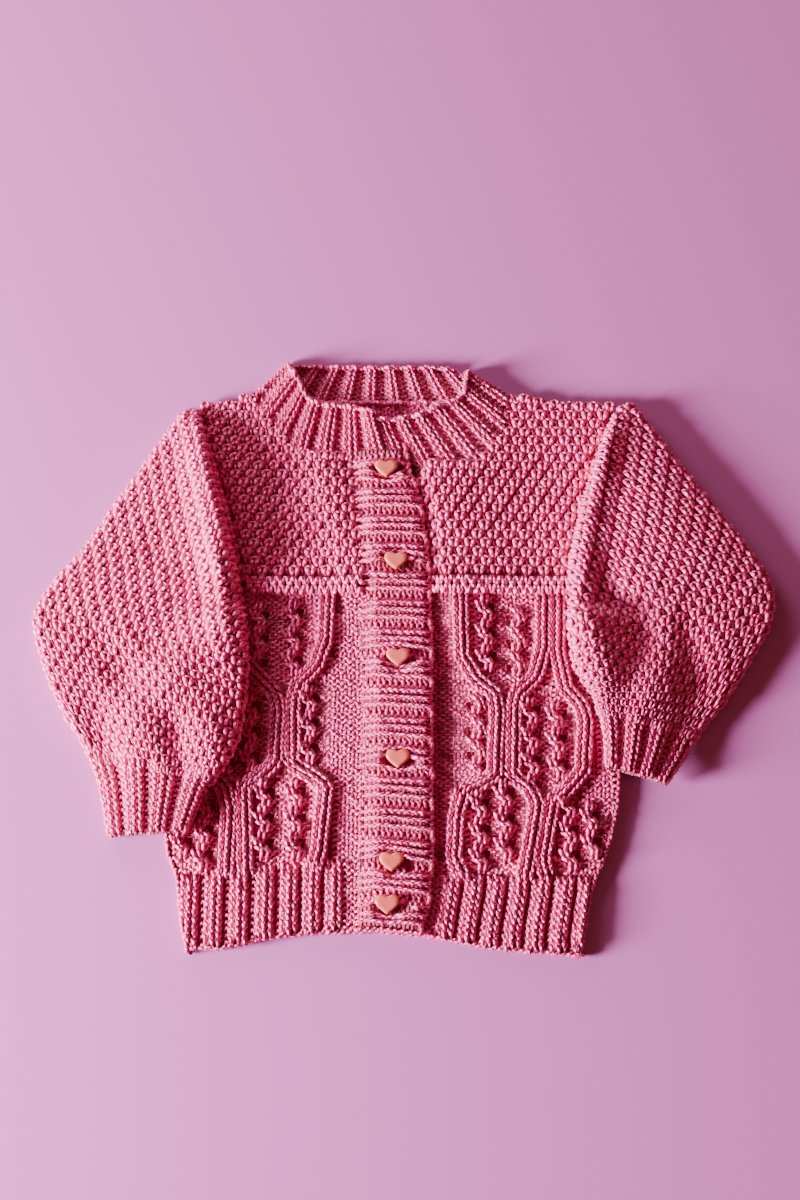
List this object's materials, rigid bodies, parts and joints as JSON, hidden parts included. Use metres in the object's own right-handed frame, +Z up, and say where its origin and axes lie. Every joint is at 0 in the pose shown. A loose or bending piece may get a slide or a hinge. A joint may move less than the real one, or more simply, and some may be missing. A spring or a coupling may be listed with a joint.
{
  "type": "baby cardigan laid flat",
  "caption": "Hand-knitted baby cardigan, buttoned and laid flat on its back, with moss stitch sleeves and yoke, cables, ribs and heart buttons.",
  "frame": {"origin": "under the middle of the whole garment, on the surface it lies on", "axes": "+X to the viewer's right across the sleeves, +Y from the hem to the neck, +Z up through the layers"},
  "size_m": [0.365, 0.3026, 0.0158],
  "materials": {
    "yarn": "soft two-ply pink yarn with a slight sheen and a short fuzz, hand knitted",
    "buttons": "polished peach plastic with softly rounded edges"
  },
  "bodies": {
    "root": {"back": "yarn", "front_left": "yarn", "front_right": "yarn", "sleeve_left": "yarn", "sleeve_right": "yarn", "neckband": "yarn", "button_band": "yarn", "buttonhole_band": "yarn", "button_1": "buttons", "button_2": "buttons", "button_3": "buttons", "button_4": "buttons", "button_5": "buttons", "button_6": "buttons"}
  },
  "joints": []
}
